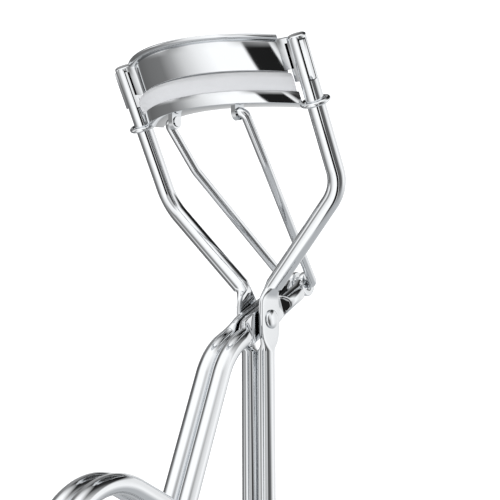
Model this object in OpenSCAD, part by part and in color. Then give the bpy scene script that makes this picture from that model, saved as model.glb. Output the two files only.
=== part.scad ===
// Eyelash curler bent from chromed steel wire and strip, with a silicone pad.
// It is drawn closed: squeezing the two finger loops holds the pad against the upper jaw.
// Design axes: X across the jaws, Z along the guide rods, Y from the convex side of the jaws,
// which is also the side of the handles, to the concave side. The guide rods stand in the
// plane y = 0 and end at z = 0.

/* [Lever wire] */
// Diameter of the wire both levers are bent from
wire_d = 3.0; // [2.6:0.1:3.4]
// Gap between the two wires that lie side by side in a handle
wire_gap = 0.1; // [0.05:0.05:0.4]

/* [Guide rods] */
// Distance between the centres of the two guide rods
guide_span = 34.4; // [30:0.2:40]
// Length of a guide rod, from its end down to the bend
guide_len = 25.8; // [24:0.2:32]
// Radius of the bend below a guide rod
guide_bend_r = 7; // [4:0.5:9]

/* [Pivot] */
// How far the pivot lies in front of the guide rods
pivot_front = 9.1; // [7:0.1:12]
// How far the pivot lies below the guide ends
pivot_drop = 44.6; // [42:0.1:52]
// Angle between the outer handle and the guide rods
handle_tilt = 31; // [26:1:38]
// Diameter of the rivet shank
rivet_d = 1.8; // [1.4:0.1:2.2]
// Diameter of a rivet head
rivet_head_d = 3.2; // [2.8:0.1:3.8]
// Height of a rivet head
rivet_head_h = 0.7; // [0.4:0.1:1]
// Radial running clearance of the rivet and of the hooks in their bores
run_gap = 0.06; // [0.02:0.01:0.1]

/* [Stamped flats] */
// Width of the flat ears on the outer lever
ear_w = 5.4; // [4.6:0.1:6]
// Thickness of the flat ears on the outer lever
ear_t = 0.9; // [0.7:0.1:1.3]
// Distance from the pivot to the round wire above and below an ear
ear_reach = 5.4; // [5.2:0.1:7]
// Width of the flats on the inner lever
flat_w = 4.8; // [4:0.1:5.2]
// Thickness of the flats on the inner lever
flat_t = 1.2; // [0.9:0.1:1.3]
// How far outside the ears the round wires above them stand
ear_offset = 0.8; // [0:0.1:1]
// Distance from the pivot to the round wire on each side of an inner flat
flat_reach = 7.2; // [7:0.1:8]
// Side clearance between the flats of the two levers
side_gap = 0.3; // [0.2:0.05:0.4]

/* [Inner lever] */
// Length of the arm, from the pivot to the push rods
arm_len = 15.6; // [14:0.1:17]
// Slope of the arm below the horizontal
arm_drop = 5.5; // [0:0.5:10]
// Diameter of the eye at the end of the arm
eye_d = 4.4; // [4:0.1:5]
// Thickness of the eye at the end of the arm
eye_t = 1.0; // [0.8:0.1:1.2]
// Length from the pivot to the knee of the inner handle
knee_len = 12.7; // [11:0.1:15]
// Angle between the inner handle and the guide rods
inner_tilt = 56; // [50:1:62]
// Radius of the bend at the knee
knee_r = 6; // [5:0.5:8]

/* [Finger loops] */
// Centre line radius of the finger loops
loop_r = 12; // [11:0.5:15]
// Length of the outer handle, from the pivot to the middle of its loop
outer_len = 46; // [40:0.5:56]
// Length of the inner handle, from the knee to the middle of its loop
inner_len = 39; // [36:0.5:46]
// Gap between the end of a loop and its own handle
loop_end_gap = 0.3; // [0.2:0.05:0.6]

/* [Jaws] */
// Radius of the jaw curve, seen along the guide rods, at the middle of the sheet
jaw_r = 21.4; // [20:0.1:26]
// Half of the chord that the jaw curve spans
jaw_half = 14.6; // [14:0.1:14.8]
// How far the jaw ends lie in front of the guide rods
jaw_front = 0.1; // [0:0.05:0.4]
// Angle by which the jaws rise towards their convex side
jaw_tilt = 31.5; // [20:0.5:36]
// Thickness of the jaw sheet
sheet_t = 0.8; // [0.6:0.05:0.9]
// Height of the upper jaw along the guide rods, from its lower edge to the rim
upper_h = 6.0; // [5:0.1:7]
// Height of the rim's ends above the guide ends
rim_above = 0.1; // [-0.4:0.1:1]
// How far the rim stands out beyond the middle of the sheet
rim_w = 1.1; // [0.9:0.1:1.6]
// Thickness of the rim, along the guide rods
rim_t = 0.7; // [0.5:0.05:0.9]
// Angle by which the upper jaw's curve ends before the jaw ends
curve_trim = 4.5; // [3:0.5:6]
// How far the jaw tabs lie in front of the guide rods' centres
tab_front = 0.7; // [0.4:0.05:0.8]
// How far the jaw tabs stand out of the guide rods
tab_proud = 0.15; // [0.1:0.05:0.4]
// Height of the jaw tabs inside the guide rods
tab_h = 6.4; // [5.5:0.1:6.8]
// Distance of the jaw tabs below the guide ends
tab_drop = 0.8; // [0.6:0.1:1.2]
// Height that is left free above the pad where a tab leaves the jaw
tab_lift = 0.8; // [0.6:0.1:1.2]

/* [Pad and lower jaw] */
// Gap between the closed pad and the upper jaw
bite_gap = 0.2; // [0.1:0.05:0.4]
// Height of the pad above its channel, along the guide rods
pad_h = 3.2; // [2.4:0.1:3.6]
// Radial width of the pad above its channel
pad_w = 3.0; // [2.6:0.1:3.4]
// Angle by which the pad ends before the channel
pad_trim = 2.8; // [2.6:0.1:4]
// Depth of the channel that holds the pad
channel_h = 2.1; // [1.8:0.1:2.4]
// Radial width of the channel outside
channel_w = 2.6; // [2.4:0.1:3]
// Thickness of the channel walls
channel_t = 0.5; // [0.4:0.05:0.7]
// Gap between the pad root and the channel walls
root_gap = 0.1; // [0.05:0.05:0.2]
// Diameter of the metal of the rings that run on the guide rods
ring_d = 0.8; // [0.7:0.05:1]
// Radial clearance between a ring and its guide rod
ring_gap = 0.2; // [0.15:0.05:0.3]

/* [Push rods] */
// Diameter of the push rods
rod_d = 1.6; // [1.4:0.1:1.8]
// Distance of the upper hooks from the middle of the jaw
lug_x = 6.2; // [5.5:0.1:8]
// Thickness of the lugs under the lower jaw
lug_t = 0.8; // [0.6:0.1:1]
// Height of the rod pivots below the lower jaw
lug_drop = 1.1; // [1:0.05:1.4]
// Thickness of the lugs around their bores
lug_wall = 0.35; // [0.3:0.05:0.5]
// Side clearance between a push rod and the lug or the eye beside it
hook_gap = 0.15; // [0.1:0.05:0.3]
// How far the hooks reach out of the lugs and the eyes
hook_proud = 0.2; // [0.1:0.05:0.3]
// Radius of the bend at a hook
hook_bend_r = 0.95; // [0.9:0.01:1.3]
// Height of the waist of the push rods below their upper hooks
waist_drop = 9.6; // [7:0.1:12]
// How far the waist lies inside the upper hooks
waist_in = 0.6; // [0:0.1:1]
// How far the waist lies behind the upper hooks
waist_back = 2.2; // [1:0.1:3]
// Radius of the bend at the waist
waist_bend_r = 6; // [3:0.5:10]
// Extra radial room of the lower hooks, for the arc that the arm swings through
hook_room = 0.4; // [0.35:0.05:0.5]

/* [Hidden] */
$fn = 96;
chrome = "silver";
silicone = "gainsboro";

// Curved and straight pieces of a wire overlap by the lap, and differ by the step in diameter
joint_lap = 0.08;
joint_step = 0.02;

wire_r = wire_d / 2;
guide_x = guide_span / 2;
pair_x = (wire_d + wire_gap) / 2;
pivot = [0, -pivot_front, -pivot_drop];

// Directions in the middle plane, as unit vectors
outer_dir = [0, -sin(handle_tilt), -cos(handle_tilt)];
outer_out = [0, cos(handle_tilt), -sin(handle_tilt)];
inner_dir = [0, -sin(inner_tilt), -cos(inner_tilt)];
inner_out = [0, -cos(inner_tilt), sin(inner_tilt)];
arm_dir = [0, cos(arm_drop), -sin(arm_drop)];

// The stack across the pivot: inner flats, then outer ears, then rivet heads
flat_x = side_gap + flat_t / 2;
ear_x = 2 * side_gap + flat_t + ear_t / 2;
stack_half = ear_x + ear_t / 2;

// Heights of the jaw planes, where they cross the line between the jaw ends
rim_z = rim_above;
upper_z = rim_z - upper_h;
pad_top_z = upper_z - bite_gap;
channel_top_z = pad_top_z - pad_h;
channel_z = channel_top_z - channel_h;
jaw_centre_y = sqrt(jaw_r * jaw_r - jaw_half * jaw_half) - jaw_front;
jaw_angle = asin(jaw_half / jaw_r);
jaw_apex_y = jaw_centre_y - jaw_r;
ring_r = wire_r + ring_gap + ring_d / 2;
ring_z = channel_z + ring_d / 2;

// The push rods
rod_r = rod_d / 2;
lug_r = rod_r + run_gap + lug_wall;
lug_y = jaw_centre_y - sqrt(jaw_r * jaw_r - lug_x * lug_x);
lug_z = channel_z - (lug_y + jaw_front) * tan(jaw_tilt);
hook = [lug_x, lug_y - lug_drop * sin(jaw_tilt), lug_z - lug_drop * cos(jaw_tilt)];
rod_x = lug_x + lug_t / 2 + hook_gap + rod_r;
eye = pivot + arm_len * arm_dir;
eye_x = 2 * side_gap + eye_t / 2;
foot_x = eye_x + eye_t / 2 + hook_gap + rod_r;

// The frame's origin is in the middle of the upper jaw's lower edge
origin = [0, jaw_apex_y, upper_z - (jaw_apex_y + jaw_front) * tan(jaw_tilt)];

function unit(v) = v / norm(v);
function in_plane(x, p) = [x, p[1], p[2]];
// Where a corner's arc leaves the straight run that arrives at it
function corner_cut(a, b, c, r) = r * tan(acos(unit(b - a) * unit(c - b)) / 2);

module in_frame()
{
    translate(-origin)
        children();
}

module both_sides()
{
    children();
    mirror([1, 0, 0])
        children();
}

// Turns the local X, Y and Z axes to three unit vectors at a point
module to_axes(p, ex, ey, ez)
{
    multmatrix([[ex[0], ey[0], ez[0], p[0]],
                [ex[1], ey[1], ez[1], p[1]],
                [ex[2], ey[2], ez[2], p[2]],
                [0, 0, 0, 1]])
        children();
}

// A round bar between two points
module bar(a, b, d)
{
    along = unit(b - a);
    side = unit(cross(abs(along[0]) > 0.9 ? [0, 1, 0] : [1, 0, 0], along));
    to_axes(a, side, cross(along, side), along)
        cylinder(h = norm(b - a), d = d);
}

// A curved piece of wire whose ends reach a little way into the straight pieces beside it
module arc_wire(r, turn, d)
{
    lap = joint_lap / r * 180 / PI;
    rotate([0, 0, -lap])
        rotate_extrude(angle = turn + 2 * lap)
            translate([r, 0])
                circle(d = d - joint_step);
}

// The bend of a wire at corner b, on its way from a to c
module bend(a, b, c, r, d)
{
    u = unit(b - a);
    v = unit(c - b);
    turn = acos(u * v);
    axis = unit(cross(u, v));
    start = b - u * r * tan(turn / 2);
    centre = start + cross(axis, u) * r;
    e1 = unit(start - centre);
    to_axes(centre, e1, cross(axis, e1), axis)
        arc_wire(r, turn, d);
}

// A wire through a list of points, with one bend radius for each inner point
module wire(p, r, d)
{
    last = len(p) - 1;
    for (i = [0:last - 1])
    {
        cut_a = i == 0 ? 0 : corner_cut(p[i - 1], p[i], p[i + 1], r[i - 1]);
        cut_b = i == last - 1 ? 0 : corner_cut(p[i], p[i + 1], p[i + 2], r[i]);
        u = unit(p[i + 1] - p[i]);
        bar(p[i] + u * cut_a, p[i + 1] - u * cut_b, d);
    }
    for (i = [1:1:last - 1])
        bend(p[i - 1], p[i], p[i + 1], r[i - 1], d);
}

// The rounded end of a wire
module ball(p, d)
{
    translate(p)
        sphere(d = d - joint_step);
}

// A finger loop: three quarters of a circle from the handle's line, a straight leg back
// towards the handle, and a hairpin that joins the two wires
module finger_loop(mid, dir, out)
{
    centre = mid + loop_r * out;
    leg_top = centre - loop_r * dir;
    leg_end = mid - loop_r * dir + (wire_r + loop_end_gap + pair_x + wire_r) * out;
    normal = cross(-out, dir);
    both_sides()
    {
        to_axes(in_plane(pair_x, centre), -out, dir, normal)
            arc_wire(loop_r, 270, wire_d);
        bar(in_plane(pair_x, leg_top), in_plane(pair_x, leg_end), wire_d);
    }
    to_axes(leg_end, [1, 0, 0], -out, cross([1, 0, 0], -out))
        arc_wire(pair_x, 180, wire_d);
}

// A flat stamped into a wire around the pivot, with rounded ends
module flat_plate(x, dir, w, reach, t)
{
    side = cross([1, 0, 0], dir);
    to_axes(in_plane(x - t / 2, pivot), dir, side, [1, 0, 0])
        linear_extrude(t)
            intersection()
            {
                square([2 * reach, w], center = true);
                circle(r = reach);
            }
}

module outer_lever()
{
    ear_top = pivot - ear_reach * outer_dir;
    ear_low = pivot + ear_reach * outer_dir;
    bend_pt = [guide_x, 0, -guide_len];
    loop_mid = pivot + outer_len * outer_dir;
    top_x = ear_x + ear_offset;
    color(chrome)
        in_frame()
            difference()
            {
                union()
                {
                    both_sides()
                    {
                        wire([[guide_x, 0, 0], bend_pt, in_plane(top_x, ear_top)],
                             [guide_bend_r], wire_d);
                        ball(in_plane(top_x, ear_top), wire_d);
                        flat_plate(ear_x, outer_dir, ear_w, ear_reach, ear_t);
                        ball(in_plane(pair_x, ear_low), wire_d);
                        bar(in_plane(pair_x, ear_low), in_plane(pair_x, loop_mid), wire_d);
                    }
                    finger_loop(loop_mid, outer_dir, outer_out);
                }
                // The bore for the rivet
                bar(in_plane(-guide_x, pivot), in_plane(guide_x, pivot), rivet_d + 2 * run_gap);
                // The slits that the tabs of the upper jaw pass through
                both_sides()
                    translate([guide_x - wire_d, -tab_front - sheet_t / 2, -tab_drop - tab_h])
                        cube([2 * wire_d, sheet_t, tab_h]);
            }
}

// A curved upright strip between two radii, centred on the front of the jaws
module jaw_strip(inner, outer, half_angle)
{
    tall = 4 * jaw_r;
    translate([0, jaw_centre_y, 0])
        rotate([0, 0, -90 - half_angle])
            rotate_extrude(angle = 2 * half_angle)
                translate([inner, -tall / 2])
                    square([outer - inner, tall]);
}

// The part of a strip between two of the tilted jaw planes
module jaw_slice(low, high)
{
    wide = 4 * jaw_r;
    intersection()
    {
        children();
        translate([0, -jaw_front, low])
            rotate([-jaw_tilt, 0, 0])
                translate([-wide / 2, -wide / 2, 0])
                    cube([wide, wide, (high - low) * cos(jaw_tilt)]);
    }
}

module upper_jaw()
{
    inner = jaw_r - sheet_t / 2;
    outer = jaw_r + sheet_t / 2;
    tab_end = guide_x + sqrt(wire_r * wire_r - tab_front * tab_front) + tab_proud;
    half_angle = jaw_angle - curve_trim;
    tab_start = guide_x - wire_r - sheet_t / 2;
    neck_start = (inner - sheet_t / 4) * sin(half_angle);
    neck_z = upper_z + tab_lift;
    color(chrome)
        in_frame()
        {
            difference()
            {
                jaw_slice(upper_z, rim_z)
                    jaw_strip(inner, jaw_r + rim_w, half_angle);
                jaw_slice(upper_z - upper_h, rim_z - rim_t)
                    jaw_strip(outer, jaw_r + 2 * rim_w, 2 * half_angle);
            }
            both_sides()
            {
                translate([neck_start, -tab_front - sheet_t / 2, neck_z])
                    cube([tab_end - neck_start, sheet_t, -tab_drop - neck_z]);
                translate([tab_start, -tab_front - sheet_t / 2, -tab_drop - tab_h])
                    cube([tab_end - tab_start, sheet_t, tab_h]);
            }
        }
}

module lower_jaw()
{
    inner = jaw_r - channel_w / 2;
    outer = jaw_r + channel_w / 2;
    floor_t = channel_t / cos(jaw_tilt);
    color(chrome)
        in_frame()
        {
            difference()
            {
                jaw_slice(channel_z, channel_top_z)
                    jaw_strip(inner, outer, jaw_angle);
                jaw_slice(channel_z + floor_t, channel_top_z + channel_h)
                    jaw_strip(inner + channel_t, outer - channel_t, 2 * jaw_angle);
            }
            both_sides()
                translate([guide_x, 0, ring_z])
                    rotate_extrude()
                        translate([ring_r, 0])
                            circle(d = ring_d);
        }
}

// The lug that a push rod hooks into, on the underside of the lower jaw
module lug()
{
    translate([lug_x, lug_y, lug_z])
        rotate([-jaw_tilt, 0, 0])
            difference()
            {
                intersection()
                {
                    union()
                    {
                        bar([-lug_t / 2, 0, -lug_drop], [lug_t / 2, 0, -lug_drop], 2 * lug_r);
                        translate([-lug_t / 2, -lug_r, -lug_drop])
                            cube([lug_t, 2 * lug_r, lug_drop]);
                    }
                    translate([-lug_t, -2 * lug_r, -2 * lug_drop - lug_r])
                        cube([2 * lug_t, 4 * lug_r, 2 * lug_drop + lug_r]);
                }
                bar([-lug_t, 0, -lug_drop], [lug_t, 0, -lug_drop], rod_d + 2 * run_gap);
            }
}

module lug_right()
{
    color(chrome)
        in_frame()
            lug();
}

module lug_left()
{
    color(chrome)
        mirror([1, 0, 0])
            in_frame()
                lug();
}

// The pad: a crown on top of the channel's walls, and a root between them
module silicone_pad()
{
    crown = pad_w / 2;
    root = channel_w / 2 - channel_t - root_gap;
    floor_t = channel_t / cos(jaw_tilt);
    color(silicone)
        in_frame()
        {
            jaw_slice(channel_top_z, pad_top_z)
                jaw_strip(jaw_r - crown, jaw_r + crown, jaw_angle - pad_trim);
            jaw_slice(channel_z + floor_t, pad_top_z)
                jaw_strip(jaw_r - root, jaw_r + root, jaw_angle - pad_trim);
        }
}

// A push rod: a hook in its lug, a slight bend at the waist, and a hook in the arm's eye
module push_rod()
{
    waist = [rod_x - waist_in, hook[1] + waist_back, hook[2] - waist_drop];
    wire([in_plane(lug_x - lug_t / 2 - hook_proud, hook),
          in_plane(rod_x, hook),
          waist,
          in_plane(foot_x, eye),
          in_plane(eye_x - eye_t / 2 - hook_proud, eye)],
         [hook_bend_r, waist_bend_r, hook_bend_r], rod_d);
}

module push_rod_right()
{
    color(chrome)
        in_frame()
            push_rod();
}

module push_rod_left()
{
    color(chrome)
        mirror([1, 0, 0])
            in_frame()
                push_rod();
}

module inner_lever()
{
    near = pivot - flat_reach * arm_dir;
    far = pivot + flat_reach * arm_dir;
    knee = pivot - knee_len * arm_dir;
    loop_mid = knee + inner_len * inner_dir;
    neck = eye_d / 2 + 1.2 * wire_r;
    eye_neck = eye - neck * arm_dir;
    color(chrome)
        in_frame()
            difference()
            {
                union()
                {
                    both_sides()
                    {
                        flat_plate(flat_x, arm_dir, flat_w, flat_reach, flat_t);
                        ball(in_plane(pair_x, near), wire_d);
                        wire([in_plane(pair_x, near), in_plane(pair_x, knee),
                              in_plane(pair_x, loop_mid)], [knee_r], wire_d);
                        ball(in_plane(pair_x, far), wire_d);
                        bar(in_plane(pair_x, far), in_plane(pair_x, eye_neck), wire_d);
                        ball(in_plane(pair_x, eye_neck), wire_d);
                        bar(in_plane(eye_x - eye_t / 2, eye), in_plane(eye_x + eye_t / 2, eye),
                            eye_d);
                        to_axes(in_plane(eye_x - eye_t / 2, eye), arm_dir,
                                cross([1, 0, 0], arm_dir), [1, 0, 0])
                            translate([-neck, -wire_r])
                                cube([neck, wire_d, eye_t]);
                    }
                    finger_loop(loop_mid, inner_dir, inner_out);
                }
                bar(in_plane(-guide_x, pivot), in_plane(guide_x, pivot), rivet_d + 2 * run_gap);
                bar(in_plane(-guide_x, eye), in_plane(guide_x, eye), rod_d + 2 * hook_room);
            }
}

// A domed rivet head on the outside of an ear
module rivet_head()
{
    cap_r = (pow(rivet_head_d / 2, 2) + pow(rivet_head_h, 2)) / (2 * rivet_head_h);
    to_axes(in_plane(stack_half, pivot), [0, 1, 0], [0, 0, 1], [1, 0, 0])
        intersection()
        {
            translate([0, 0, rivet_head_h - cap_r])
                sphere(r = cap_r);
            cylinder(h = rivet_head_h + 1, d = rivet_head_d);
        }
}

module pivot_rivet()
{
    color(chrome)
        in_frame()
        {
            bar(in_plane(-stack_half, pivot), in_plane(stack_half, pivot), rivet_d);
            both_sides()
                rivet_head();
        }
}

outer_lever();
upper_jaw();
lower_jaw();
lug_left();
lug_right();
silicone_pad();
push_rod_left();
push_rod_right();
inner_lever();
pivot_rivet();
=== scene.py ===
import math

import bmesh
import bpy
from bpy.props import FloatProperty, FloatVectorProperty, IntProperty, PointerProperty
from mathutils import Matrix, Vector


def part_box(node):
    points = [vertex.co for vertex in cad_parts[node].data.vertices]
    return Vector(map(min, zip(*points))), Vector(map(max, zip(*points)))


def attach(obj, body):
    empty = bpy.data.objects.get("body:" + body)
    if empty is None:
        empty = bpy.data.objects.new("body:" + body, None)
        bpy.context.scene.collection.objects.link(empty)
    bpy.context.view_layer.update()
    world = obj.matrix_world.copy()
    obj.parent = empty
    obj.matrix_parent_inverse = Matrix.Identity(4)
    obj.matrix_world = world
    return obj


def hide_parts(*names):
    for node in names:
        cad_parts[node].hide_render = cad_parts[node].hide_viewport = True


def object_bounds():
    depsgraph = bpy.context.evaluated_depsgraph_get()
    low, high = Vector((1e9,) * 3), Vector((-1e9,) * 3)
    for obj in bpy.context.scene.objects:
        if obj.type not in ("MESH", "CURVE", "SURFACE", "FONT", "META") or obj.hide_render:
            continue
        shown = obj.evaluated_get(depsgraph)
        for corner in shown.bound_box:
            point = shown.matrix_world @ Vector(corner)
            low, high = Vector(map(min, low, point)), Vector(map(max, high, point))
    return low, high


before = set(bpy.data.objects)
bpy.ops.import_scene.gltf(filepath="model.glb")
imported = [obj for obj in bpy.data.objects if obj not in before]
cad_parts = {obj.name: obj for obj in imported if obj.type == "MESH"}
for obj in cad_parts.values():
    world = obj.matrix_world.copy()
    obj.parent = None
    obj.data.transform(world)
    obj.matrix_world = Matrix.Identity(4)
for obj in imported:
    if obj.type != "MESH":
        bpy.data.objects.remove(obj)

bl_info = {
    "name": "Eyelash curler",
    "version": (1, 0, 0),
    "blender": (4, 5, 0),
    "location": "3D View > Sidebar > Curler",
    "description": "Builds the visible pieces of a chromed eyelash curler round its CAD frame",
    "category": "Object",
}

CAD_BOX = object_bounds()
MM = 0.001
# How far the guide rings reach from the middle plane
RING_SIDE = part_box("lower_jaw")[1].x


# ---------------------------------------------------------------- sizes and colours

def size(name, words, value):
    """A length in metres that shows in the scene's unit."""
    return FloatProperty(name=name, description=words, default=value, unit="LENGTH",
                         precision=5)


def angle(name, words, degrees):
    """An angle that is given in degrees and kept in radians."""
    return FloatProperty(name=name, description=words, default=math.radians(degrees),
                         subtype="ANGLE")


def factor(name, words, value):
    """A share between 0 and 1."""
    return FloatProperty(name=name, description=words, default=value, min=0, max=1,
                         subtype="FACTOR")


def linear(hex_colour):
    """The linear colour that an sRGB hex value stands for."""
    parts = [int(hex_colour[i:i + 2], 16) / 255 for i in (1, 3, 5)]
    return [p / 12.92 if p <= 0.04045 else ((p + 0.055) / 1.055) ** 2.4 for p in parts]


def colour(name, words, hex_colour):
    """A colour that is given as sRGB hex and kept linear."""
    return FloatVectorProperty(name=name, description=words, default=linear(hex_colour),
                               size=3, min=0, max=1, subtype="COLOR")


class JawSizes(bpy.types.PropertyGroup):
    """The curve that the upper jaw, the channel and the pad share"""
    radius: size("Curve radius", "Radius of the jaw curve at the middle of the sheet",
                 21.4 * MM)
    tilt: angle("Tilt", "Rise of the jaws towards their convex side", 31.5)
    sheet: size("Sheet", "Thickness of the jaw sheet", 0.8 * MM)
    upper_arc: angle("Upper arc", "Half of the arc that the upper jaw spans", 41.5)
    rim_arc: angle("Rim arc", "Half of the arc that the rim spans", 40.8)
    upper_height: size("Upper height", "Height of the upper jaw with its rim", 6.0 * MM)
    rim_width: size("Rim width", "How far the rim stands out from the middle of the sheet",
                    1.1 * MM)
    rim_thickness: size("Rim thickness", "Thickness of the rolled rim", 0.85 * MM)
    lower_arc: angle("Lower arc", "Half of the arc that the channel spans", 43.0)
    channel_top: size("Channel top", "Top of the channel below the upper jaw's edge",
                      3.4 * MM)
    channel_bottom: size("Channel bottom", "Bottom of the channel below the upper jaw's edge",
                         5.5 * MM)
    channel_width: size("Channel width", "Width of the channel outside", 2.6 * MM)
    channel_wall: size("Channel wall", "Thickness of the channel walls", 0.5 * MM)
    ring_radius: size("Ring radius", "Radius of a guide ring's centre line", 2.1 * MM)
    ring_metal: size("Ring metal", "Diameter of a guide ring's metal", 0.8 * MM)
    ring_height: size("Ring height", "Height of the guide rings' middle", -8.626 * MM)
    edge_round: size("Edge rounding", "Rounding on the edges of the polished sheet", 0.1 * MM)


class TabSizes(bpy.types.PropertyGroup):
    """The tabs of the upper jaw that pass through the guide rods"""
    start: size("Start", "Inner end of a tab from the middle plane", 15.3 * MM)
    end: size("End", "Outer end of a tab from the middle plane", 18.677 * MM)
    neck: size("Neck", "Where the neck leaves the jaw's curve", 14.0 * MM)
    place: size("Place", "How far a tab lies behind the middle of the jaw", 5.154 * MM)
    top: size("Top", "Height of a tab's upper edge", 1.574 * MM)
    bottom: size("Bottom", "Height of a tab's lower edge", -4.826 * MM)
    slot: size("Slot", "Gap all round a tab in its slit", 0.14 * MM)
    rod: size("Rod side", "Where the neck meets the guide rod", 15.95 * MM)
    neck_top: size("Neck top", "Height of the neck's upper edge", 2.3 * MM)
    neck_bottom: size("Neck bottom", "Height of the neck's lower edge", -2.726 * MM)


class WireSizes(bpy.types.PropertyGroup):
    """The wire of the two levers and where it runs"""
    wire: size("Wire", "Diameter of the lever wire", 3.0 * MM)
    pair: size("Pair", "Distance of a handle wire from the middle plane", 1.55 * MM)
    guide_x: size("Guide place", "Distance of a guide rod from the middle plane", 17.2 * MM)
    guide_y: size("Guide depth", "How far the guide rods lie behind the jaw", 5.8539 * MM)
    guide_top: size("Guide top", "Height of the guide rods' ends", 2.374 * MM)
    guide_length: size("Guide length", "Length of a guide rod down to its bend", 25.8 * MM)
    guide_bend: size("Guide bend", "Radius of the bend below a guide rod", 7 * MM)
    pivot_y: size("Pivot depth", "Place of the pivot, front to back", -3.2461 * MM)
    pivot_z: size("Pivot height", "Height of the pivot", -42.226 * MM)
    handle_tilt: angle("Outer tilt", "Angle of the outer handle from the upright", 31)
    inner_tilt: angle("Inner tilt", "Angle of the inner handle from the upright", 56)
    arm_drop: angle("Arm drop", "Slope of the arm below the horizontal", 5.5)
    arm: size("Arm", "Length of the arm from the pivot to its eye", 15.6 * MM)
    knee: size("Knee", "Length from the pivot to the knee", 12.7 * MM)
    knee_bend: size("Knee bend", "Radius of the bend at the knee", 11 * MM)
    outer_handle: size("Outer handle", "Length from the pivot to the loop's middle",
                       46 * MM)
    inner_handle: size("Inner handle", "Length from the knee to the loop's middle",
                       39 * MM)
    loop: size("Loop", "Radius of the finger loops", 12 * MM)
    loop_gap: size("Loop gap", "Clearance between a loop's end and its handle", 0.3 * MM)
    ear_x: size("Ear place", "Distance of an ear from the middle plane", 2.25 * MM)
    ear_thickness: size("Ear thickness", "Thickness of the stamped ears", 0.9 * MM)
    ear_reach: size("Ear reach", "Distance from the pivot to the round wire", 5.4 * MM)
    ear_offset: size("Ear offset", "How far outside the ears the upper wires stand", 0.8 * MM)
    flat_reach: size("Flat reach", "Distance from the pivot to the inner round wire",
                     7.2 * MM)
    eye_x: size("Eye place", "Distance of an eye from the middle plane", 1.1 * MM)
    eye_radius: size("Eye radius", "Radius of an eye outside", 2.2 * MM)
    eye_bore: size("Eye bore", "Radius of the hole in an eye", 1.2 * MM)
    eye_thickness: size("Eye thickness", "Thickness of an eye", 1.0 * MM)
    sides: IntProperty(name="Sides", description="Faces round a wire", default=40, min=12)


class PadSizes(bpy.types.PropertyGroup):
    """The silicone pad in the channel"""
    arc: angle("Arc", "Half of the arc that the pad spans", 42.3)
    top: size("Top", "Top of the pad below the upper jaw's edge", 0.2 * MM)
    width: size("Width", "Width of the crown above the channel", 3.0 * MM)
    root: size("Root", "Width of the root between the channel walls", 1.4 * MM)
    corner: size("Corner", "Rounding of the crown's edges", 0.3 * MM)
    crown: size("Crown", "How far the crown's top edges are drawn in", 0.7 * MM)
    shoulder: size("Shoulder", "Height of the sloping part above and below", 0.95 * MM)
    undercut: size("Undercut", "How far the crown's foot is drawn in", 0.3 * MM)
    steps: IntProperty(name="Steps", description="Steps along the curve", default=96, min=8)


class Finishes(bpy.types.PropertyGroup):
    """The colours and the polish of the finishes"""
    chrome: colour("Chrome", "Colour of the bright chrome", "#E2E4E6")
    chrome_roughness: factor("Chrome roughness", "Roughness of the polished plating", 0.035)
    silicone: colour("Silicone", "Colour of the milky silicone", "#DCDDDF")
    silicone_roughness: factor("Silicone roughness", "Roughness of the moulded silicone",
                               0.3)
    floor: colour("Floor", "Colour of the studio floor", "#F4F5F7")


class StageSizes(bpy.types.PropertyGroup):
    """The camera, the floor and the light"""
    camera: FloatVectorProperty(name="Camera", description="Place of the camera", size=3,
                                default=(0.10684, -0.14584, 0.03588), unit="LENGTH")
    azimuth: angle("Azimuth", "Direction of the camera about the upright axis", 36.09)
    elevation: angle("Elevation", "How far the camera looks down", 20.26)
    roll: angle("Roll", "Turn of the camera about its own axis", 18.0)
    lens: FloatProperty(name="Lens", description="Focal length in millimetres",
                        default=82.78)
    floor_half: size("Floor", "Half of the floor's side, and the backdrop's radius", 6.0)
    light: FloatProperty(name="Light", description="Strength of the light tent", default=1.3,
                         min=0)


# ---------------------------------------------------------------- materials

# The colour sockets of a Mix node: its two colours' inputs and its result's output
MIX_FIRST, MIX_SECOND, MIX_RESULT = 6, 7, 2


def node_in(tree, kind, links=(), values=(), **settings):
    """Adds a node, sets its properties or its sockets by name, sets (number, value) pairs on
    sockets that share a name, and links (socket, source) pairs."""
    node = tree.nodes.new(kind)
    for key, value in settings.items():
        if hasattr(node, key):
            setattr(node, key, value)
        else:
            node.inputs[key.replace("_", " ")].default_value = value
    for number, value in values:
        node.inputs[number].default_value = value
    for socket, source in links:
        tree.links.new(node.inputs[socket], source)
    return node


def new_material(name):
    """A material with an empty node tree."""
    material = bpy.data.materials.new(name)
    material.use_nodes = True
    material.node_tree.nodes.clear()
    return material, material.node_tree


def rgba(values):
    """The colour with full opacity."""
    return (*values, 1.0)


# Roughness of the handled patches, as a multiple of the polish
HAZE = 1.9
# How much darker the silicone is where it holds less filler
THIN_FILLER = 0.93


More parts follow.
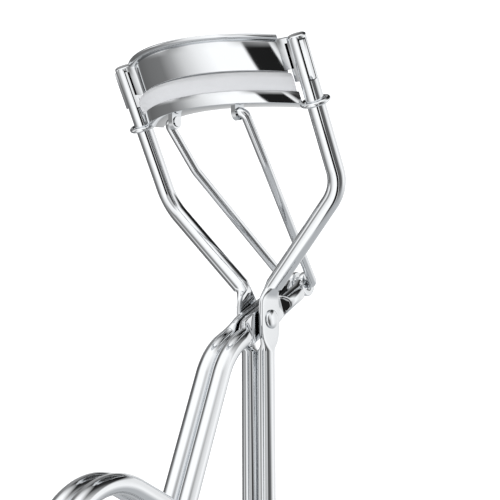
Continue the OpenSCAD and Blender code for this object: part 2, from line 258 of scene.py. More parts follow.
def bright_chrome():
    """Bright nickel-chrome plating on polished steel wire: a neutral mirror that is faintly
    uneven where the polishing wheel passed, with a haze of fine rubbing marks."""
    found = bpy.data.materials.get("bright_chrome")
    if found:
        return found
    look = bpy.context.scene.curler_finishes
    material, tree = new_material("bright_chrome")
    place = node_in(tree, "ShaderNodeTexCoord")
    # Polishing leaves soft waves about 4 mm long
    waves = node_in(tree, "ShaderNodeTexNoise", [("Vector", place.outputs["Object"])],
                    Scale=1 / (4 * MM), Detail=1.0)
    # Handling leaves a haze in patches about 1.5 mm across
    haze = node_in(tree, "ShaderNodeTexNoise", [("Vector", place.outputs["Object"])],
                   Scale=1 / (1.5 * MM), Detail=3.0)
    rough = node_in(tree, "ShaderNodeMapRange", [("Value", haze.outputs["Fac"])],
                    From_Min=0.35, From_Max=0.75, To_Min=look.chrome_roughness,
                    To_Max=look.chrome_roughness * HAZE)
    bump = node_in(tree, "ShaderNodeBump", [("Height", waves.outputs["Fac"])],
                   Strength=0.05, Distance=0.02 * MM)
    metal = node_in(tree, "ShaderNodeBsdfPrincipled",
                    [("Roughness", rough.outputs["Result"]),
                     ("Normal", bump.outputs["Normal"])],
                    Base_Color=rgba(look.chrome), Metallic=1.0)
    node_in(tree, "ShaderNodeOutputMaterial", [("Surface", metal.outputs["BSDF"])])
    return material


def milky_silicone():
    """Moulded food-grade silicone: a milky, slightly see-through white with a satin skin."""
    look = bpy.context.scene.curler_finishes
    material, tree = new_material("milky_silicone")
    place = node_in(tree, "ShaderNodeTexCoord")
    # A moulded skin has a fine grain, drawn here at 0.25 mm so that it shows
    grain = node_in(tree, "ShaderNodeTexNoise", [("Vector", place.outputs["Object"])],
                    Scale=1 / (0.25 * MM), Detail=2.0)
    # The milky filler varies a little from place to place, over about 3 mm
    cloud = node_in(tree, "ShaderNodeTexNoise", [("Vector", place.outputs["Object"])],
                    Scale=1 / (3 * MM), Detail=2.0)
    thin = [part * THIN_FILLER for part in look.silicone]
    tint = node_in(tree, "ShaderNodeMix", [("Factor", cloud.outputs["Fac"])],
                   [(MIX_FIRST, rgba(look.silicone)), (MIX_SECOND, rgba(thin))],
                   data_type="RGBA")
    bump = node_in(tree, "ShaderNodeBump", [("Height", grain.outputs["Fac"])],
                   Strength=0.05, Distance=0.01 * MM)
    body = node_in(tree, "ShaderNodeBsdfPrincipled",
                   [("Base Color", tint.outputs[MIX_RESULT]),
                    ("Normal", bump.outputs["Normal"])],
                   Roughness=look.silicone_roughness, IOR=1.41, Subsurface_Weight=0.06,
                   Subsurface_Radius=(1.0, 1.0, 1.0), Subsurface_Scale=0.4 * MM)
    node_in(tree, "ShaderNodeOutputMaterial", [("Surface", body.outputs["BSDF"])])
    return material


def pale_floor():
    """Matt white paper, which glows a little so that its own edge can't be seen."""
    look = bpy.context.scene.curler_finishes
    material, tree = new_material("pale_floor")
    paper = node_in(tree, "ShaderNodeBsdfPrincipled", Base_Color=rgba(look.floor),
                    Roughness=0.9, Emission_Color=rgba(look.floor), Emission_Strength=0.55)
    node_in(tree, "ShaderNodeOutputMaterial", [("Surface", paper.outputs["BSDF"])])
    return material


# ---------------------------------------------------------------- shapes

# Points closer than this are one point
SAME = 0.0001 * MM
# Points of a CAD node closer than this are one point, and shorter edges are removed
CAD_SAME, CAD_SHORT = 0.0005 * MM, 0.0002 * MM
# Points this near to the middle plane join with their mirrored ones
MIRROR_SAME = 0.001 * MM
# The turn in degrees between two faces past which the edge between them stays sharp
SHEET_SHARP, RIVET_SHARP, WIRE_SHARP = 32, 40, 48
# A finger loop's turn from its handle to the leg that comes back
LOOP_TURN = math.radians(270)
# The rim: rounding as a part of its thickness, and the crease as a part of the sheet's
RIM_ROLL, RIM_CREASE = 0.48, 0.3
# Rounding on an eye's edges
EYE_ROUND = 0.15 * MM
# How far a diagonal stops before its ear, in wire radii
BEFORE_EAR = 0.35
# The rivet: radius of its shank, and its head as (how far out, radius), all in millimetres
RIVET_SHANK = 0.9
RIVET_HEAD = [(-0.03, 1.5), (0.0, 1.6), (0.22, 1.6), (0.34, 1.52), (0.48, 1.3), (0.6, 0.98),
              (0.67, 0.6), (0.7, 0.25)]
# The end of a guide rod: (how much further down, in wire radii; part of the wire's radius)
GUIDE_END = [(0, 0.80), (0.06, 0.92), (0.08, 0.98), (0.10, 1.0)]
# A part of a wire as it passes the pivot is (place along the wire, offset sideways, thickness,
# width, squareness), in millimetres; squareness goes from 1 for round to 0.3 for a flat bar
# with round corners.
# An ear, with its offset from the ear's own place
EAR_SECTIONS = [(-5.0, 0.55, 2.4, 3.3, 0.9), (-4.5, 0.32, 1.75, 3.9, 0.7),
                (-4.0, 0.15, 1.25, 4.5, 0.5), (-3.5, 0.04, 1.0, 4.95, 0.36),
                (-3.0, 0, 0.9, 5.2, 0.3), (-2.2, 0, 0.9, 5.38, 0.28), (-1, 0, 0.9, 5.4, 0.28),
                (0, 0, 0.9, 5.4, 0.28), (1, 0, 0.9, 5.4, 0.28), (2.2, 0, 0.9, 5.3, 0.28),
                (3.0, 0, 0.9, 4.95, 0.3), (3.6, -0.02, 0.95, 4.5, 0.34),
                (4.2, -0.12, 1.2, 3.95, 0.45), (4.8, -0.4, 1.9, 3.4, 0.7)]
# The arm from its eye past the pivot, with its offset from the middle plane
ARM_SECTIONS = [(-14.1, 1.1, 0.7, 1.6, 0.4), (-13.6, 1.1, 0.96, 3.3, 0.35),
                (-13.0, 1.12, 1.1, 3.2, 0.45), (-12.4, 1.25, 1.6, 3.1, 0.6),
                (-11.8, 1.42, 2.4, 3.05, 0.85), (-11.2, 1.55, 3, 3, 1),
                (-6.8, 1.55, 3, 3, 1), (-6.45, 1.4, 2.6, 3.25, 0.85),
                (-6.1, 1.14, 1.8, 3.7, 0.6), (-5.7, 0.92, 1.2, 4.2, 0.36),
                (-4.6, 0.9, 1.2, 4.7, 0.3), (-3, 0.9, 1.2, 4.8, 0.28),
                (0, 0.9, 1.2, 4.8, 0.28), (3, 0.9, 1.2, 4.8, 0.28),
                (4.6, 0.9, 1.2, 4.7, 0.3), (5.6, 0.92, 1.2, 4.3, 0.36),
                (6.2, 1.12, 1.7, 3.8, 0.6), (6.7, 1.38, 2.4, 3.3, 0.85)]

def finish_piece(shape, name, body, material, nodes=()):
    """Makes the mesh an object at the origin that rides on a body and stands for CAD nodes."""
    mesh = bpy.data.meshes.new(name)
    shape.to_mesh(mesh)
    shape.free()
    piece = bpy.data.objects.new(name, mesh)
    bpy.context.scene.collection.objects.link(piece)
    mesh.materials.append(material)
    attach(piece, body)
    if nodes:
        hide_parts(*nodes)
    return piece


def shade(shape, limit=SHEET_SHARP):
    """Smooth faces, with sharp edges where the surface turns by more than the limit."""
    for face in shape.faces:
        face.smooth = True
    for edge in shape.edges:
        edge.smooth = (len(edge.link_faces) == 2
                       and edge.calc_face_angle(0) < math.radians(limit))


def merged_copy(node):
    """A copy of a CAD node's mesh with its loose triangles joined."""
    shape = bmesh.new()
    shape.from_mesh(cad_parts[node].data)
    bmesh.ops.remove_doubles(shape, verts=shape.verts, dist=CAD_SAME)
    bmesh.ops.dissolve_degenerate(shape, edges=shape.edges, dist=CAD_SHORT)
    return shape


def polished_wirework(name, body, node):
    """A CAD node's own shape, smoothed and plated."""
    shape = merged_copy(node)
    shade(shape)
    return finish_piece(shape, name, body, bright_chrome(), [node])


def rounded_profile(shape, corners, rounding, segments=3):
    """A closed outline in the XZ plane, given as (radius, height, round or not), with the
    marked corners rounded."""
    verts = [shape.verts.new((radius, 0, height)) for radius, height, _ in corners]
    shape.faces.new(verts)
    turned = [vert for vert, (_, _, is_round) in zip(verts, corners) if is_round]
    bmesh.ops.bevel(shape, geom=turned, offset=rounding, offset_type="OFFSET",
                    segments=segments, profile=0.5, affect="VERTICES", material=-1)


def jaw_sweep(shape, corners, half_arc, rounding, steps=96, segments=3):
    """Sweeps an outline round the jaw curve and tilts the result, as the jaws are tilted."""
    jaw = bpy.context.scene.curler_jaw
    part = bmesh.new()
    rounded_profile(part, corners, rounding, segments)
    # The outline starts in the plane through the curve's axis, pointing to the front
    centre = Vector((0, jaw.radius, 0))
    start = Matrix.Translation(centre) @ Matrix.Rotation(-math.pi / 2 - half_arc, 4, "Z")
    bmesh.ops.transform(part, matrix=start, verts=part.verts)
    bmesh.ops.spin(part, geom=part.faces[:] + part.edges[:] + part.verts[:], cent=centre,
                   axis=(0, 0, 1), angle=2 * half_arc, steps=steps, use_duplicate=False)
    lean = Matrix.Identity(4)
    lean[2][1] = -math.tan(jaw.tilt)
    bmesh.ops.transform(part, matrix=lean, verts=part.verts)
    bmesh.ops.remove_doubles(part, verts=part.verts, dist=SAME)
    bmesh.ops.recalc_face_normals(part, faces=part.faces)
    add_to(shape, part)


def add_to(shape, part):
    """Moves a part's mesh into another."""
    mesh = bpy.data.meshes.new("part")
    part.to_mesh(mesh)
    part.free()
    shape.from_mesh(mesh)
    bpy.data.meshes.remove(mesh)


def block(shape, low, high, rounding, segments=2):
    """A sheet-metal block between two corners, with rounded edges."""
    part = bmesh.new()
    middle = (Vector(low) + Vector(high)) / 2
    span = Vector(high) - Vector(low)
    bmesh.ops.create_cube(part, size=1,
                          matrix=Matrix.Translation(middle) @ Matrix.Diagonal((*span, 1)))
    bmesh.ops.bevel(part, geom=part.edges[:], offset=rounding, offset_type="OFFSET",
                    segments=segments, profile=0.5, affect="EDGES", material=-1)
    add_to(shape, part)


def ring(shape, centre, radius, metal, steps=48):
    """A closed ring of round metal that lies flat about a guide rod."""
    part = bmesh.new()
    made = bmesh.ops.create_circle(part, segments=20, radius=metal / 2,
                                   matrix=Matrix.Translation(centre)
                                   @ Matrix.Translation((radius, 0, 0))
                                   @ Matrix.Rotation(math.pi / 2, 4, "X"))
    bmesh.ops.spin(part, geom=part.edges[:] + made["verts"], cent=centre, axis=(0, 0, 1),
                   angle=2 * math.pi, steps=steps, use_merge=True)
    bmesh.ops.remove_doubles(part, verts=part.verts, dist=SAME)
    bmesh.ops.recalc_face_normals(part, faces=part.faces)
    add_to(shape, part)


class Wire:
    """A wire that is drawn section by section, as it is bent and stamped on the bench. Each
    section is a loop of points; the loops are extruded one from the other."""

    def __init__(self, shape, point, along, across, radius, capped=True):
        self.shape = bmesh.new()
        self.into = shape
        self.point, self.along, self.across = Vector(point), Vector(along), Vector(across)
        self.half = [radius, radius]
        self.square = 1.0
        self.capped = capped
        self.sides = bpy.context.scene.curler_wire.sides
        self.loop = None
        self.edges = []
        self.index = {}

    def place(self, vert, turn):
        """Puts a point on the section: round at 1, a flat bar with round corners near 0.3."""
        flat, wide = (math.copysign(abs(f(turn)) ** self.square, f(turn)) * h
                      for f, h in ((math.cos, self.half[0]), (math.sin, self.half[1])))
        vert.co = self.point + self.across * flat + self.along.cross(self.across) * wide

    def cut(self):
        """Makes a section here."""
        if self.loop is None:
            made = bmesh.ops.create_circle(self.shape, segments=self.sides, radius=1,
                                           cap_ends=self.capped)
            self.loop = made["verts"]
            self.edges = self.shape.edges[:]
        else:
            made = bmesh.ops.extrude_edge_only(self.shape, edges=self.edges)["geom"]
            self.edges = [g for g in made if isinstance(g, bmesh.types.BMEdge)
                          and len(g.link_faces) == 1]
            # Each new point takes the number of the old one that it came from
            order = {}
            for vert in (g for g in made if isinstance(g, bmesh.types.BMVert)):
                old = [e.other_vert(vert) for e in vert.link_edges
                       if e.other_vert(vert) in self.index]
                order[self.index[old[0]]] = vert
            self.loop = [order[i] for i in range(self.sides)]
        self.index = {v: i for i, v in enumerate(self.loop)}
        for i, vert in enumerate(self.loop):
            self.place(vert, 2 * math.pi * i / self.sides)
        return self

    def go(self, distance):
        """Runs straight on."""
        self.point = self.point + self.along * distance
        return self.cut()

    def bend(self, axis, radius, turn, steps=12):
        """Runs round a bend whose axis, radius and turn are given."""
        axis = Vector(axis).normalized()
        centre = self.point + axis.cross(self.along) * radius
        for _ in range(steps):
            spin = Matrix.Rotation(turn / steps, 3, axis)
            self.point = centre + spin @ (self.point - centre)
            self.along, self.across = spin @ self.along, spin @ self.across
            self.cut()
        return self

    def corner(self, corner, after, radius, steps=12):
        """Runs straight to the bend at a corner, and round it to a new direction."""
        after = Vector(after).normalized()
        turn = self.along.angle(after)
        cut = radius * math.tan(turn / 2)
        self.go((Vector(corner) - self.point).dot(self.along) - cut)
        return self.bend(self.along.cross(after), radius, turn, steps)

    def stamp(self, point, along, across, thickness, width, square):
        """A section at a given place, pressed to a thickness and a width."""
        self.point, self.along, self.across = Vector(point), Vector(along), Vector(across)
        self.half, self.square = [thickness / 2, width / 2], square
        return self.cut()

    def stamp_along(self, pivot, along, across, aside, sections):
        """Sections from a table, on a line that passes a pivot at a distance to the side."""
        for place, offset, thickness, width, square in sections:
            self.stamp(pivot + along * (place * MM) + across * (aside + offset * MM), along,
                       across, thickness * MM, width * MM, square)

    def end(self, closed=True):
        """Caps the last section or leaves it open, and hands the wire over."""
        if closed:
            bmesh.ops.contextual_create(self.shape, geom=self.edges)
        bmesh.ops.recalc_face_normals(self.shape, faces=self.shape.faces)
        add_to(self.into, self.shape)


def washer(shape, centre, bore, radius, thickness):
    """A flat eye with broken edges, whose hole runs across the tool."""
    part = bmesh.new()
    half = thickness / 2
    rounded_profile(part, [(bore, -half, True), (radius, -half, True), (radius, half, True),
                           (bore, half, True)], EYE_ROUND)
    bmesh.ops.spin(part, geom=part.faces[:] + part.edges[:] + part.verts[:], cent=(0, 0, 0),
                   axis=(0, 0, 1), angle=2 * math.pi, steps=64, use_merge=True)
    # The outline that was spun lies inside the eye, and goes
    bmesh.ops.delete(part, geom=[f for f in part.faces if len(f.verts) > 4],
                     context="FACES_ONLY")
    bmesh.ops.transform(part, matrix=Matrix.Translation(centre)
                        @ Matrix.Rotation(math.pi / 2, 4, "Y"), verts=part.verts)
    bmesh.ops.remove_doubles(part, verts=part.verts, dist=SAME)
    bmesh.ops.recalc_face_normals(part, faces=part.faces)
    add_to(shape, part)


def mirrored(shape):
    """Adds the other side of a shape, across the middle plane."""
    bmesh.ops.mirror(shape, geom=shape.faces[:] + shape.edges[:] + shape.verts[:], axis="X",
                     matrix=Matrix.Identity(4), merge_dist=MIRROR_SAME)
    bmesh.ops.recalc_face_normals(shape, faces=shape.faces)


def scratch(name, shape):
    """An object with this mesh that is no piece: a tool for a cut, or part of the stage."""
    mesh = bpy.data.meshes.new(name)
    shape.to_mesh(mesh)
    made = bpy.data.objects.new(name, mesh)
    bpy.context.scene.collection.objects.link(made)
    return made


def cut_slots(shape, tab, w):
    """Cuts the slits for the tabs through the guide rods, a little wider than the tabs."""
    cutter = bmesh.new()
    low, high = tab.bottom - tab.slot, tab.top + tab.slot
    thick = bpy.context.scene.curler_jaw.sheet / 2 + tab.slot
    for side in (-1, 1):
        block(cutter, (side * w.guide_x - w.wire, tab.place - thick, low),
              (side * w.guide_x + w.wire, tab.place + thick, high), tab.slot)
    body, knife = scratch("body", shape), scratch("knife", cutter)
    cutter.free()
    cut = body.modifiers.new("slots", "BOOLEAN")
    cut.operation, cut.object, cut.solver = "DIFFERENCE", knife, "EXACT"
    done = body.evaluated_get(bpy.context.evaluated_depsgraph_get()).to_mesh()
    shape.clear()
    shape.from_mesh(done)
    for made in (body, knife):
        mesh = made.data
        bpy.data.objects.remove(made)
        bpy.data.meshes.remove(mesh)


def middle_plane(tilt):
    """The direction down a handle, in the middle plane."""
    return Vector((0, -math.sin(tilt), -math.cos(tilt)))


def handle_and_loop(wire, sizes, to_middle, out):
    """The straight handle, the loop, the leg back towards the handle, and half the hairpin."""
    wire.go(to_middle)
    wire.bend(wire.along.cross(out), sizes.loop, LOOP_TURN, steps=72)
    wire.go(sizes.loop - sizes.wire - sizes.loop_gap - sizes.pair)
    wire.bend(wire.along.cross(Vector((-1, 0, 0))), sizes.pair, math.pi / 2)
    wire.end(closed=False)


# ---------------------------------------------------------------- operators

class CURLER_OT_outer_lever(bpy.types.Operator):
    """The outer lever: guide rods, stamped ears, handle and finger loop"""
    bl_idname = "curler.outer_lever"
    bl_label = "Outer lever"

    def execute(self, context):
        w = context.scene.curler_wire
        x_axis = Vector((1, 0, 0))
        down = middle_plane(w.handle_tilt)
        out = Vector((0, math.cos(w.handle_tilt), -math.sin(w.handle_tilt)))
        pivot = Vector((0, w.pivot_y, w.pivot_z))
        radius = w.wire / 2
        shape = bmesh.new()
        corner = Vector((w.guide_x, w.guide_y, w.guide_top - w.guide_length))
        ear_top = pivot - w.ear_reach * down + x_axis * (w.ear_x + w.ear_offset)
        slope = (ear_top - corner).normalized()
        # The sawn end of a guide rod has its edge broken
        wire = Wire(shape, (w.guide_x, w.guide_y, w.guide_top), (0, 0, -1), x_axis,
                    radius * GUIDE_END[0][1]).cut()
        for further, share in GUIDE_END[1:]:
            wire.half = [radius * share] * 2
            wire.go(further * radius)
        wire.corner(corner, slope, w.guide_bend, steps=16)
        wire.go((ear_top - wire.point).length - BEFORE_EAR * radius)
        wire.stamp_along(pivot, down, x_axis, w.ear_x, EAR_SECTIONS)
        wire.stamp(pivot + down * w.ear_reach + x_axis * w.pair, down, x_axis,
                   w.wire, w.wire, 1)
        handle_and_loop(wire, w, w.outer_handle - w.ear_reach, out)
        mirrored(shape)
        cut_slots(shape, context.scene.curler_tabs, w)
        shade(shape, WIRE_SHARP)
        finish_piece(shape, "outer_lever_wire", "frame", bright_chrome(),
                     ["outer_lever"])
        return {"FINISHED"}


class CURLER_OT_inner_lever(bpy.types.Operator):
    """The inner lever: arm with its eyes, flats, knee, handle and finger loop"""
    bl_idname = "curler.inner_lever"
    bl_label = "Inner lever"

    def execute(self, context):
        w = context.scene.curler_wire
        x_axis = Vector((1, 0, 0))
        back = -Vector((0, math.cos(w.arm_drop), -math.sin(w.arm_drop)))
        down = middle_plane(w.inner_tilt)
        out = Vector((0, -math.cos(w.inner_tilt), math.sin(w.inner_tilt)))
        pivot = Vector((0, w.pivot_y, w.pivot_z))
        eye = pivot - w.arm * back + x_axis * w.eye_x
        shape = bmesh.new()
        washer(shape, eye, w.eye_bore, w.eye_radius, w.eye_thickness)
        wire = Wire(shape, eye, back, x_axis, w.wire / 2)
        wire.stamp_along(pivot, back, x_axis, 0, ARM_SECTIONS)
        wire.stamp(pivot + back * w.flat_reach + x_axis * w.pair, back, x_axis,
                   w.wire, w.wire, 1)
        knee = pivot + back * w.knee + x_axis * w.pair
        wire.corner(knee, down, w.knee_bend)
        middle = knee + down * w.inner_handle
        handle_and_loop(wire, w, (middle - wire.point).length, out)
        mirrored(shape)
        shade(shape, WIRE_SHARP)
        finish_piece(shape, "inner_lever_wire", "squeeze_lever", bright_chrome(),
                     ["inner_lever"])
        return {"FINISHED"}


class CURLER_OT_push_rods(bpy.types.Operator):
    """The two hooked push rods"""
    bl_idname = "curler.push_rods"
    bl_label = "Push rods"

    def execute(self, context):
        for side in ("left", "right"):
            polished_wirework(f"push_rod_{side}_wire", "push_rods", f"push_rod_{side}")
        return {"FINISHED"}


class CURLER_OT_lugs(bpy.types.Operator):
    """The two lugs under the lower jaw"""
    bl_idname = "curler.lugs"
    bl_label = "Lugs"

    def execute(self, context):
        for side in ("left", "right"):
            polished_wirework(f"lug_{side}_plate", "slider", f"lug_{side}")
        return {"FINISHED"}


class CURLER_OT_rivet(bpy.types.Operator):
    """The pivot rivet with its domed heads"""
    bl_idname = "curler.rivet"
    bl_label = "Pivot rivet"

    def execute(self, context):
        w = context.scene.curler_wire
        face = w.ear_x + w.ear_thickness / 2
        shape = bmesh.new()
        wire = Wire(shape, (0, w.pivot_y, w.pivot_z), (1, 0, 0), (0, 0, 1), RIVET_SHANK * MM,
                    capped=False)
        wire.cut()
        for out, radius in [(0, RIVET_SHANK), *RIVET_HEAD]:
            wire.half = [radius * MM] * 2
            wire.point.x = face + out * MM
            wire.cut()
        wire.end()
        mirrored(shape)
        shade(shape, RIVET_SHARP)
        finish_piece(shape, "pivot_rivet_domed", "frame", bright_chrome(),
                     ["pivot_rivet"])
        return {"FINISHED"}


class CURLER_OT_upper_jaw(bpy.types.Operator):
    """The upper jaw: curved sheet with a folded rim, and the tabs in the guide rods"""
    bl_idname = "curler.upper_jaw"
    bl_label = "Upper jaw"

    def execute(self, context):
        jaw = context.scene.curler_jaw
        tab = context.scene.curler_tabs
        inside = jaw.radius - jaw.sheet / 2
        outside = jaw.radius + jaw.sheet / 2
        lip = jaw.radius + jaw.rim_width
        top = jaw.upper_height
        fold = top - jaw.rim_thickness
        roll = RIM_ROLL * jaw.rim_thickness
        shape = bmesh.new()
        # A crease runs under the rim, where the sheet turns into the roll
        crease = RIM_CREASE * jaw.sheet
        jaw_sweep(shape, [(inside, 0, True), (outside, 0, True),
                          (outside, fold - crease, True), (outside - crease, fold, False),
                          (outside - crease, fold + roll, False), (inside, fold + roll, True)],
                  jaw.upper_arc, jaw.edge_round)
        # The rim is rolled, so it is a bead with round edges
        jaw_sweep(shape, [(inside, fold, True), (lip, fold, True), (lip, top, True),
                          (inside, top, True)],
                  jaw.rim_arc, roll, segments=6)
        # At each end a neck runs from the curve to the guide rod, and a tab through it
        for side in (-1, 1):
            for start, end, low, high in (
                    (tab.neck, tab.rod, tab.neck_bottom, tab.neck_top),
                    (tab.start, tab.end, tab.bottom, tab.top)):
                left, right = sorted((side * start, side * end))
                block(shape, (left, tab.place - jaw.sheet / 2, low),
                      (right, tab.place + jaw.sheet / 2, high), jaw.edge_round)
        shade(shape)
        finish_piece(shape, "upper_jaw_sheet", "frame", bright_chrome(),
                     ["upper_jaw"])
        return {"FINISHED"}


class CURLER_OT_lower_jaw(bpy.types.Operator):
    """The lower jaw: the channel that holds the pad, and its guide rings"""
    bl_idname = "curler.lower_jaw"
    bl_label = "Lower jaw"

    def execute(self, context):
        jaw = context.scene.curler_jaw
        w = context.scene.curler_wire
        inside = jaw.radius - jaw.channel_width / 2
        outside = jaw.radius + jaw.channel_width / 2
        wall = jaw.channel_wall
        floor = -jaw.channel_bottom + wall / math.cos(jaw.tilt)
        top, bottom = -jaw.channel_top, -jaw.channel_bottom
        shape = bmesh.new()
        jaw_sweep(shape, [(inside, bottom, True), (outside, bottom, True),
                          (outside, top, True), (outside - wall, top, True),
                          (outside - wall, floor, False), (inside + wall, floor, False),
                          (inside + wall, top, True), (inside, top, True)],
                  jaw.lower_arc, jaw.edge_round)
        ring_x = RING_SIDE - jaw.ring_radius - jaw.ring_metal / 2
        for side in (-1, 1):
            ring(shape, Vector((side * ring_x, w.guide_y, jaw.ring_height)), jaw.ring_radius,
                 jaw.ring_metal)
        shade(shape)
        finish_piece(shape, "lower_jaw_channel", "slider", bright_chrome(),
                     ["lower_jaw"])
        return {"FINISHED"}


class CURLER_OT_pad(bpy.types.Operator):
    """The silicone pad with its rounded crown"""
    bl_idname = "curler.pad"
    bl_label = "Silicone pad"

    def execute(self, context):
        jaw = context.scene.curler_jaw
        pad = context.scene.curler_pad
        crown_in, crown_out = jaw.radius - pad.width / 2, jaw.radius + pad.width / 2
        root_in, root_out = jaw.radius - pad.root / 2, jaw.radius + pad.root / 2
        top, ledge = -pad.top, -jaw.channel_top
        foot = -jaw.channel_bottom + jaw.channel_wall / math.cos(jaw.tilt)
        shape = bmesh.new()
        jaw_sweep(shape, [(root_in, foot, True), (root_out, foot, True),
                          (root_out, ledge, False), (crown_out - pad.undercut, ledge, False),
                          (crown_out, ledge + pad.shoulder, True),
                          (crown_out, top - pad.shoulder, True),
                          (crown_out - pad.crown, top, True),
                          (crown_in + pad.crown, top, True),
                          (crown_in, top - pad.shoulder, True),
                          (crown_in, ledge + pad.shoulder, True),
                          (crown_in + pad.undercut, ledge, False), (root_in, ledge, False)],
                  pad.arc, pad.corner, steps=pad.steps, segments=6)
        shade(shape)
        piece = finish_piece(shape, "silicone_pad_moulded", "slider",
                             milky_silicone(), ["silicone_pad"])
        return {"FINISHED"}


# The tent's walls below and above eye level, as (direction in degrees from the front towards
# the right, grey): white cloth, dark gaps between the cloths, and one black card in front
LOW_CARDS = [(-180, "#E2E2E2"), (-150, "#DEDEDE"), (-125, "#7C7C7C"), (-100, "#606060"),
             (-84, "#6C6C6C"), (-64, "#747474"), (-50, "#A0A0A0"), (-38, "#CCCCCC"),
             (-22, "#ECECEC"), (-8, "#FFFFFF"), (21.5, "#FFFFFF"), (24, "#1E1E1E"),
             (45, "#1C1C1C"), (46.5, "#F4F4F4"), (49, "#E0E0E0"), (52, "#242424"),
             (64, "#606060"), (84, "#585858"), (93, "#8C8C8C"), (106, "#DADADA"),
             (125, "#FAFAFA"), (150, "#E4E4E4")]
HIGH_CARDS = [(-180, "#141414"), (-160, "#303030"), (-142, "#909090"), (-112, "#686868"),
              (-103, "#484848"), (-90, "#808080"), (-76, "#D0D0D0"), (-62, "#F8F8F8"),
              (-50, "#808080"), (-40, "#848484"), (-26, "#E8E8E8"), (8, "#FFFFFF"),
              (22, "#9C9C9C"), (38, "#C8C8C8"), (46, "#C4C4C4"), (58, "#303030"),
              (70, "#383838"), (82, "#A0A0A0"), (94, "#D4D4D4"), (118, "#F0F0F0"),
              (131, "#989898"), (145, "#383838"), (160, "#141414")]
# Where one part of the tent passes into the next, as heights on a unit sphere, and the grey
# that follows: the upper walls' own, the white ceiling, the floor cloth
TENT_BANDS = [(-0.10, 0.06, None), (0.62, 0.88, "#FFFFFF"), (-0.55, -0.85, "#AFB1B3")]


def fill_ramp(ramp, cards):
    """Sets a ramp's stops to the cards' directions and greys."""
    while len(ramp.elements) > 1:
        ramp.elements.remove(ramp.elements[-1])
    for i, (direction, grey) in enumerate(cards):
        share = (direction + 180) / 360
        stop = ramp.elements[0] if i == 0 else ramp.elements.new(share)
        stop.position = share
        stop.color = rgba(linear(grey))


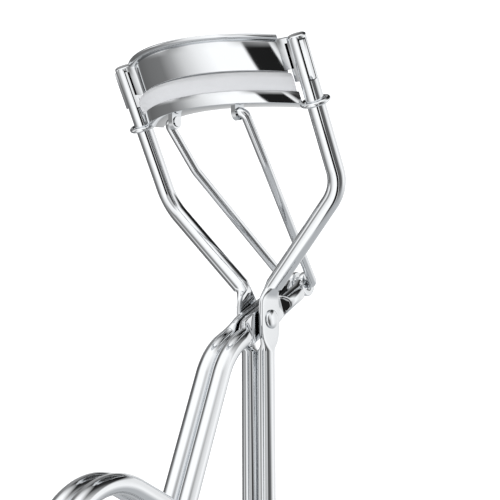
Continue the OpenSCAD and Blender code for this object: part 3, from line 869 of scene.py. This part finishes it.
class CURLER_OT_stage(bpy.types.Operator):
    """The camera, the pale floor and the soft studio light"""
    bl_idname = "curler.stage"
    bl_label = "Stage"

    def execute(self, context):
        stage = context.scene.curler_stage
        self.add_camera(context, stage)
        shape = bmesh.new()
        bmesh.ops.create_grid(shape, x_segments=1, y_segments=1, size=stage.floor_half,
                              matrix=Matrix.Translation((0, 0, CAD_BOX[0][2])))
        floor = scratch("studio_floor", shape)
        shape.free()
        floor.data.materials.append(pale_floor())
        # The chrome shows the studio round it and not the paper under it
        floor.visible_glossy = False
        self.backdrop(stage)
        self.light_tent(context, stage)
        context.scene.view_settings.view_transform = "Standard"
        return {"FINISHED"}

    def backdrop(self, stage):
        """A white dome behind everything, which neither lights nor shades the tool."""
        shape = bmesh.new()
        bmesh.ops.create_uvsphere(shape, u_segments=48, v_segments=24,
                                  radius=stage.floor_half)
        dome = scratch("backdrop", shape)
        shape.free()
        material, tree = new_material("white_backdrop")
        glow = node_in(tree, "ShaderNodeEmission", Strength=1.0)
        node_in(tree, "ShaderNodeOutputMaterial", [("Surface", glow.outputs["Emission"])])
        dome.data.materials.append(material)
        for ray in ("diffuse", "glossy", "transmission", "volume_scatter", "shadow"):
            setattr(dome, "visible_" + ray, False)
        return dome

    def add_camera(self, context, stage):
        """A camera that looks down at the tool, turned about its own axis."""
        camera = bpy.data.cameras.new("camera")
        camera.lens = stage.lens
        camera.clip_start = 0.01
        holder = bpy.data.objects.new("camera", camera)
        view = (Matrix.Rotation(stage.azimuth, 4, "Z")
                @ Matrix.Rotation(math.pi / 2 - stage.elevation, 4, "X")
                @ Matrix.Rotation(-stage.roll, 4, "Z"))
        holder.matrix_world = Matrix.Translation(stage.camera) @ view
        context.scene.collection.objects.link(holder)
        context.scene.camera = holder

    def light_tent(self, context, stage):
        """A white light tent with the gaps and dark cards that give chrome its lines."""
        world = bpy.data.worlds.new("light_tent")
        context.scene.world = world
        world.use_nodes = True
        tree = world.node_tree
        tree.nodes.clear()
        place = node_in(tree, "ShaderNodeTexCoord")
        parts = node_in(tree, "ShaderNodeSeparateXYZ",
                        [("Vector", place.outputs["Generated"])])
        front = node_in(tree, "ShaderNodeMath", [(0, parts.outputs["Y"])], [(1, -1.0)],
                        operation="MULTIPLY")
        direction = node_in(tree, "ShaderNodeMath",
                            [(0, parts.outputs["X"]), (1, front.outputs[0])],
                            operation="ARCTAN2")
        share = node_in(tree, "ShaderNodeMapRange", [("Value", direction.outputs[0])],
                        From_Min=-math.pi, From_Max=math.pi)
        walls = []
        for cards in (LOW_CARDS, HIGH_CARDS):
            ramp = node_in(tree, "ShaderNodeValToRGB", [("Fac", share.outputs["Result"])])
            fill_ramp(ramp.color_ramp, cards)
            walls.append(ramp.outputs["Color"])
        tent, upper_walls = walls
        for start, end, cloth in TENT_BANDS:
            rise = node_in(tree, "ShaderNodeMapRange", [("Value", parts.outputs["Z"])],
                           From_Min=start, From_Max=end)
            links = [("Factor", rise.outputs["Result"]), (MIX_FIRST, tent)]
            values = []
            if cloth is None:
                links.append((MIX_SECOND, upper_walls))
            else:
                values.append((MIX_SECOND, rgba(linear(cloth))))
            tent = node_in(tree, "ShaderNodeMix", links, values,
                           data_type="RGBA").outputs[MIX_RESULT]
        light = node_in(tree, "ShaderNodeBackground", [("Color", tent)],
                        Strength=stage.light)
        node_in(tree, "ShaderNodeOutputWorld", [("Surface", light.outputs["Background"])])


class CURLER_PT_panel(bpy.types.Panel):
    """Lists the pieces and the sizes"""
    bl_label = "Eyelash curler"
    bl_idname = "CURLER_PT_panel"
    bl_space_type = "VIEW_3D"
    bl_region_type = "UI"
    bl_category = "Curler"

    def draw(self, context):
        for operator in OPERATORS:
            self.layout.operator(operator.bl_idname)
        for name, group in GROUPS.items():
            box = self.layout.box()
            for prop in group.__annotations__:
                box.prop(getattr(context.scene, name), prop)


OPERATORS = [CURLER_OT_stage, CURLER_OT_outer_lever, CURLER_OT_inner_lever,
             CURLER_OT_push_rods, CURLER_OT_lugs, CURLER_OT_rivet, CURLER_OT_upper_jaw,
             CURLER_OT_lower_jaw, CURLER_OT_pad]
# Each group of sizes, by its name in the scene
GROUPS = {"curler_jaw": JawSizes, "curler_tabs": TabSizes, "curler_pad": PadSizes,
          "curler_wire": WireSizes, "curler_finishes": Finishes, "curler_stage": StageSizes}


def register():
    for item in [*GROUPS.values(), *OPERATORS, CURLER_PT_panel]:
        bpy.utils.register_class(item)
    for name, group in GROUPS.items():
        setattr(bpy.types.Scene, name, PointerProperty(type=group))


def unregister():
    for name in GROUPS:
        delattr(bpy.types.Scene, name)
    for item in reversed([*GROUPS.values(), *OPERATORS, CURLER_PT_panel]):
        bpy.utils.unregister_class(item)


def main():
    """Builds everything."""
    register()
    for operator in OPERATORS:
        group, name = operator.bl_idname.split(".")
        getattr(getattr(bpy.ops, group), name)()


if __name__ == "__main__":
    main()
